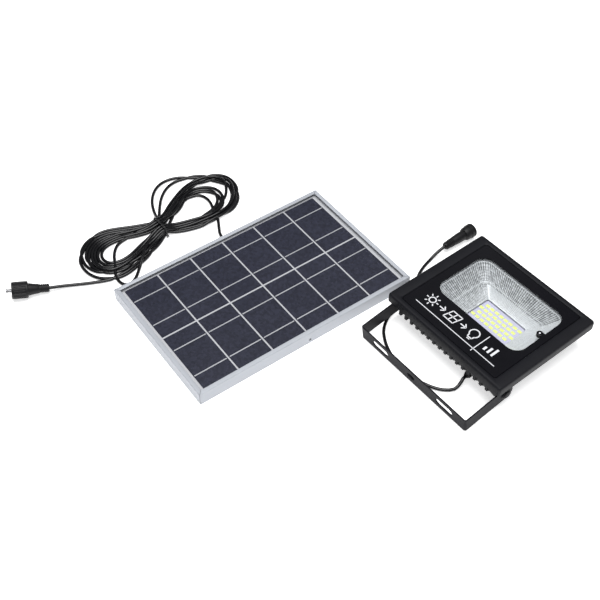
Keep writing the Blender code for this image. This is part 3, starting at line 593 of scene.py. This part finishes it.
def build_bezel():
    levels = [(77.0, 66.9, 3, 28.3), (77.4, 67.3, 3, 28.6), (77.45, 67.35, 2.9, 29.2),
              (77.4, 67.3, 2.8, 36.0), (77.3, 67.15, 2.8, 37.1), (76.9, 66.75, 2.8, 38.1),
              (76.3, 66.15, 2.8, 38.75), (75.4, 65.5, 2.8, 39), (66.0, 61.5, 3, 38.7),
              (65.1, 60.9, 3, 38.4), (64.7, 60.6, 3, 37.9), (64.7, 60.6, 3, 33.4),
              (61.4, 57.2, 3, 33.4), (61.4, 57.2, 3, 30.8), (72.2, 63.2, 3, 30.8),
              (73.2, 64, 3, 25.5)]
    bm = bmesh.new()
    loft_rings(bm, [ring_points(*level) for level in levels], LAMP, closed=True)
    finish_piece("bezel_casting", bm, "paint", "lamp", ["front_bezel"], 30)
    bm = bmesh.new()
    for fin in range(FINS):
        x = FIN_START + FIN_PITCH * fin
        add_box(bm, (x - FIN_WIDTH / 2, -66.9, 21.6), (x + FIN_WIDTH / 2, -60, 28.5), LAMP)
    finish_piece("fin_toes", bm, "paint", "lamp", bevel=0.7)


def build_glass():
    bm = bmesh.new()
    outer = [(64.0, 59.9, 2.7, 37.7), (64.3, 60.2, 3, 37.85), (64.3, 60.2, 3, 38.05),
             (64.1, 60, 2.8, 38.2)]
    inner = [(*WINDOW_HALF, 13, 38.2), (*WINDOW_HALF, 13, 37.7)]
    rings = [ring_points(*level) for level in outer]
    rings += [ring_points(*level, WINDOW) for level in inner]
    loft_rings(bm, rings, LAMP, closed=True)
    finish_piece("printed_border", bm, "print", "lamp", sharp=30)
    bm = bmesh.new()
    levels = [(63.9, 59.8, 2.6, 34.2), (64.3, 60.2, 3, 34.5), (64.3, 60.2, 3, 37.4),
              (64.1, 60, 2.8, 37.62)]
    loft_rings(bm, [ring_points(*level) for level in levels], LAMP)
    finish_piece("glass_pane", bm, "lamp_glass", "lamp", ["lamp_glass"], 30)


def wall_softness(dx, dy, t):
    """How much of the facets' relief and painted shade is left: less low down, and hardly any on
    the right wall.
    """
    if dx > abs(dy):
        return 0.3
    if dy > abs(dx) and t > 0.56:
        return 0.35
    return 1.0 if t < 0.62 else 0.8


def build_reflector():
    """A square bowl of pillow-shaped facets, in rows from the window's rim down to the diodes."""
    rows, per_row, sub = 14, 132, 4
    random.seed(21)
    tones = [[random.uniform(-0.15, 0.22) for _ in range(per_row)] for _ in range(rows + 1)]
    cx, cy = LED_CENTRE.x, LED_CENTRE.y
    base = [Vector(p) / MM for p in ring_points(*BOWL_TOP, BOWL_Z, (0, 0), BOWL_CORNER_STEPS)]
    lengths = [0.0]
    for a, b in zip(base, base[1:] + base[:1]):
        lengths.append(lengths[-1] + (b - a).length)
    bm = bmesh.new()
    # groove holds how much painted shade each point gets, standing in for the facets' reflections.
    groove = bm.verts.layers.float.new("groove")
    grid = []
    for i in range(rows * sub + 1):
        t = i / (rows * sub)
        sink = 0.52 * t + 0.48 * (1 - (1 - t) ** 1.6)
        half_x, half_y, radius = (top + (foot - top) * t for top, foot in zip(BOWL_TOP, BOWL_FOOT))
        z = BOWL_Z - BOWL_DEPTH * sink
        centre = (WINDOW[0] + (cx - WINDOW[0]) * t, WINDOW[1] + (cy - WINDOW[1]) * t)
        outline = [Vector(p) / MM
                   for p in ring_points(half_x, half_y, radius, z, centre, BOWL_CORNER_STEPS)]
        ring = []
        for k in range(per_row * sub):
            place = k / (per_row * sub) * lengths[-1]
            j = max(n for n in range(len(base)) if lengths[n] <= place + 1e-9)
            share = (place - lengths[j]) / max(lengths[j + 1] - lengths[j], 1e-9)
            point = outline[j].lerp(outline[(j + 1) % len(outline)], share)
            inward = Vector((centre[0] - point.x, centre[1] - point.y, 18)).normalized()
            softness = wall_softness((point.x - centre[0]) / half_x,
                                     (point.y - centre[1]) / half_y, t)
            across = math.sin(math.pi * (k % sub) / sub) ** 2
            down = math.sin(math.pi * (i % sub) / sub) ** 2
            bow = across * (0.5 + 0.5 * down) * (0.75 - 0.35 * t) * softness
            vert = bm.verts.new(LAMP @ ((point + inward * bow) * MM))
            # Painted shade: darkest at the facets' edges, with a random painted tone for each
            # facet.
            level = (0.8 * (1 - across) + 0.2 * (1 - down) + tones[i // sub][k // sub]) * softness
            # Painted highlights: the line halfway down and the rim get no painted shade, so they
            # stand out bright.
            if i == rows * sub // 2 or i < 2:  # a bright line halfway down, and one along the rim
                level = 0.0
            vert[groove] = min(1.0, max(0.0, level))
            ring.append(vert)
        grid.append(ring)
    for upper, lower in zip(grid, grid[1:]):
        for k, vert in enumerate(upper):
            following = (k + 1) % len(upper)
            bm.faces.new((vert, upper[following], lower[following], lower[k]))
    rim = [[bm.verts.new(LAMP @ Vector(p)) for p in ring_points(*level, WINDOW, BOWL_CORNER_STEPS)]
           for level in ((*BOWL_TOP, 33.25), (57.6, 37.8, 14, 33.8), (59.9, 40.7, 15, 33.9))]
    for inner, outer in zip(rim, rim[1:]):
        for k, vert in enumerate(inner):
            following = (k + 1) % len(inner)
            bm.faces.new((vert, inner[following], outer[following], outer[k]))
    piece = finish_piece("reflector_facets", bm, "mirror", "lamp", ["reflector"], 60)
    solid = piece.modifiers.new("Wall", "SOLIDIFY")
    solid.thickness, solid.offset = 0.35 * MM, -1


def build_leds():
    cx, cy = LED_CENTRE.x, LED_CENTRE.y
    bm = bmesh.new()
    add_box(bm, (cx - BOARD_HALF[0], cy - BOARD_HALF[1], LED_TOP - 1.6),
            (cx + BOARD_HALF[0], cy + BOARD_HALF[1], LED_TOP), LAMP)
    finish_piece("diode_board", bm, "board", "lamp", ["led_board"], bevel=0.2)
    cases, domes = bmesh.new(), bmesh.new()
    columns, rows, pitch = 8, 4, 6.25
    for column in range(columns):
        for row in range(rows):
            shift = pitch / 4 * (1 if row % 2 else -1)
            x = cx + (column - (columns - 1) / 2) * pitch + shift
            y = cy + (row - (rows - 1) / 2) * pitch
            add_box(cases, (x - 2.6, y - 1.9, LED_TOP - 0.05),
                    (x + 2.6, y + 1.9, LED_TOP + 0.75), LAMP)
            add_box(domes, (x - 2.35, y - 1.65, LED_TOP + 0.5),
                    (x + 2.35, y + 1.65, LED_TOP + 0.95), LAMP)
    finish_piece("diode_cases", cases, "led_case", "lamp", bevel=0.2)
    finish_piece("diode_phosphor", domes, "phosphor", "lamp", bevel=0.3)


def build_sensor():
    place = LAMP @ Matrix.Translation(Vector((SENSOR_X, SENSOR_Y, 0)) * MM)
    bm = bmesh.new()
    turned(bm, [(0, 34.2), (3.3, 34.2), (3.3, 38.0), (3.0, 38.25), (1.5, 38.3), (1.2, 38.1),
                (0, 38.1)], place)
    add_box(bm, (SENSOR_X + 0.5, SENSOR_Y - 2.9, 37.75),
            (WINDOW[0] + WINDOW_HALF[0] + 1, SENSOR_Y + 2.9, 38.18), LAMP)
    finish_piece("sensor_ring", bm, "print", "lamp", ["remote_sensor"], 40)
    bm = bmesh.new()
    turned(bm, [(0, 38.5), (0.45, 38.45), (0.8, 38.3), (1.0, 38.12), (1.0, 38.0), (0, 38.0)],
           place, 28)
    finish_piece("sensor_lens", bm, "led_case", "lamp", sharp=50)


# ---------------------------------------------------------------- pictograms in place of lettering

INK_LOW, INK_HIGH = 38.17, 38.3


def ink_line(bm, start, end, width):
    start, end = Vector((*start, 0)), Vector((*end, 0))
    along = end - start
    place = (LAMP @ Matrix.Translation(start.lerp(end, 0.5) * MM)
             @ Matrix.Rotation(math.atan2(along.y, along.x), 4, "Z"))
    half = along.length / 2
    add_box(bm, (-half, -width / 2, INK_LOW), (half, width / 2, INK_HIGH), place)


def ink_ring(bm, centre, radius, width, start=0, end=360):
    count = max(6, int((end - start) / 12))
    points = [(centre[0] + radius * math.cos(math.radians(start + (end - start) * i / count)),
               centre[1] + radius * math.sin(math.radians(start + (end - start) * i / count)))
              for i in range(count + 1)]
    for a, b in zip(points, points[1:]):
        ink_line(bm, a, b, width)


def build_print():
    """Two rules and a row of signs: the sun, an arrow, a panel, an arrow, a lamp, three bars."""
    bm = bmesh.new()
    ink_line(bm, (-53.7, -50.7), (53.7, -50.7), 0.9)
    ink_line(bm, (26, -54.4), (26, -27.4), 0.9)
    ink_ring(bm, (-43, -38), 3.6, 1.4)
    for i in range(8):
        angle = math.radians(45 * i)
        ink_line(bm, (-43 + 5.4 * math.cos(angle), -38 + 5.4 * math.sin(angle)),
                 (-43 + 8 * math.cos(angle), -38 + 8 * math.sin(angle)), 1.2)
    for x in (-29, 0):
        ink_line(bm, (x - 3.6, -38), (x + 3.4, -38), 1.3)
        for side in (-1, 1):
            ink_line(bm, (x + 3.8, -38), (x + 0.4, -38 + side * 3.6), 1.3)
    for a, b in (((-22, -44), (-9, -44)), ((-9, -44), (-6.4, -32)), ((-6.4, -32), (-19.4, -32)),
                 ((-19.4, -32), (-22, -44)), ((-20.7, -38), (-7.7, -38)),
                 ((-15.5, -44), (-12.9, -32))):
        ink_line(bm, a, b, 1.2)
    ink_ring(bm, (14, -36.4), 5.2, 1.3, -50, 230)
    ink_line(bm, (17.2, -40.2), (16.6, -43.4), 1.3)
    ink_line(bm, (10.8, -40.2), (11.4, -43.4), 1.3)
    ink_line(bm, (11.2, -43.6), (16.8, -43.6), 1.3)
    ink_line(bm, (12.2, -45.6), (15.8, -45.6), 1.1)
    for x, high in ((33, 5), (38, 8), (43, 11)):
        ink_line(bm, (x, -44), (x, -44 + high), 2.4)
    finish_piece("printed_signs", bm, "white_ink", "lamp", sharp=30)


def build_lamp():
    build_bezel()
    build_glass()
    build_reflector()
    build_leds()
    build_sensor()
    build_print()
    refined("rear_housing", "paint", "lamp", 0.35)
    refined("yoke", "yoke", "yoke", 0.35)
    bm = bmesh.new()
    turned(bm, [(2.0, 60.6), (2.5, 60.5), (2.75, 60.2), (2.9, 59.4), (3.2, 58.9), (3.7, 58.4),
                (3.9, 57.9), (3.9, 55.6), (3.2, 55.5), (3.2, 48), (2.0, 48)],
           GLAND, 36, closed=True)
    finish_piece("gland_moulding", bm, "rubber", "lamp", ["lead_gland"], 35)


build_lamp()

# The look of each CAD node that no piece replaces, by a part of its name.
CAD_LOOKS = {"panel_glass": "panel_glass", "corner_key": "plastic", "junction": "plastic",
             "battery_cell": "sleeve", "battery_tray": "plastic", "control": "green",
             "back_sheet": "back_sheet", "screw": "steel", "bolt": "paint", "washer": "paint",
             "gasket": "rubber", "seal": "rubber", "grommet": "rubber", "ring": "rubber",
             "insert": "plastic"}
for name, obj in NODES.items():
    if not obj.hide_render:
        look = next(value for key, value in CAD_LOOKS.items() if key in name)
        obj.data.materials.clear()
        obj.data.materials.append(LOOK[look])


# ---------------------------------------------------------------- floor and light

def build_stage():
    bm = bmesh.new()
    bmesh.ops.create_grid(bm, x_segments=1, y_segments=1, size=6)
    mesh = bpy.data.meshes.new("floor")
    bm.to_mesh(mesh)
    bm.free()
    floor = bpy.data.objects.new("floor", mesh)
    floor.location.z = -0.0002
    bpy.context.scene.collection.objects.link(floor)
    material = surface("pale floor", (0.93, 0.93, 0.93), 0.7, vary=0.0, grain=100, bump=0.0,
                       rough_vary=0.0, Specular_IOR_Level=0.1, Emission_Color=(1, 1, 1, 1),
                       Emission_Strength=0.6)
    mesh.materials.append(material)


def area_light(name, place, aim, size, power):
    data = bpy.data.lights.new(name, "AREA")
    data.size, data.energy = size, power
    light = bpy.data.objects.new(name, data)
    light.location = place
    light.rotation_euler = (Vector(aim) - Vector(place)).to_track_quat("-Z", "Y").to_euler()
    bpy.context.scene.collection.objects.link(light)


def build_light():
    world = bpy.data.worlds.new("studio")
    world.use_nodes = True
    world.node_tree.nodes["Background"].inputs["Color"].default_value = (0.93, 0.96, 1, 1)
    world.node_tree.nodes["Background"].inputs["Strength"].default_value = 0.14
    bpy.context.scene.world = world
    area_light("key", (0, 0, 2.2), (0, 0, 0), 1.7, 58)
    area_light("fill", (0.9, -0.9, 1.3), (0, 0, 0), 1.0, 5)
    area_light("card", (-1.15, 1.65, 1.5), (0.05, 0.15, 0), 0.7, 0.8)
    bpy.context.scene.view_settings.view_transform = "Standard"


build_stage()
build_light()
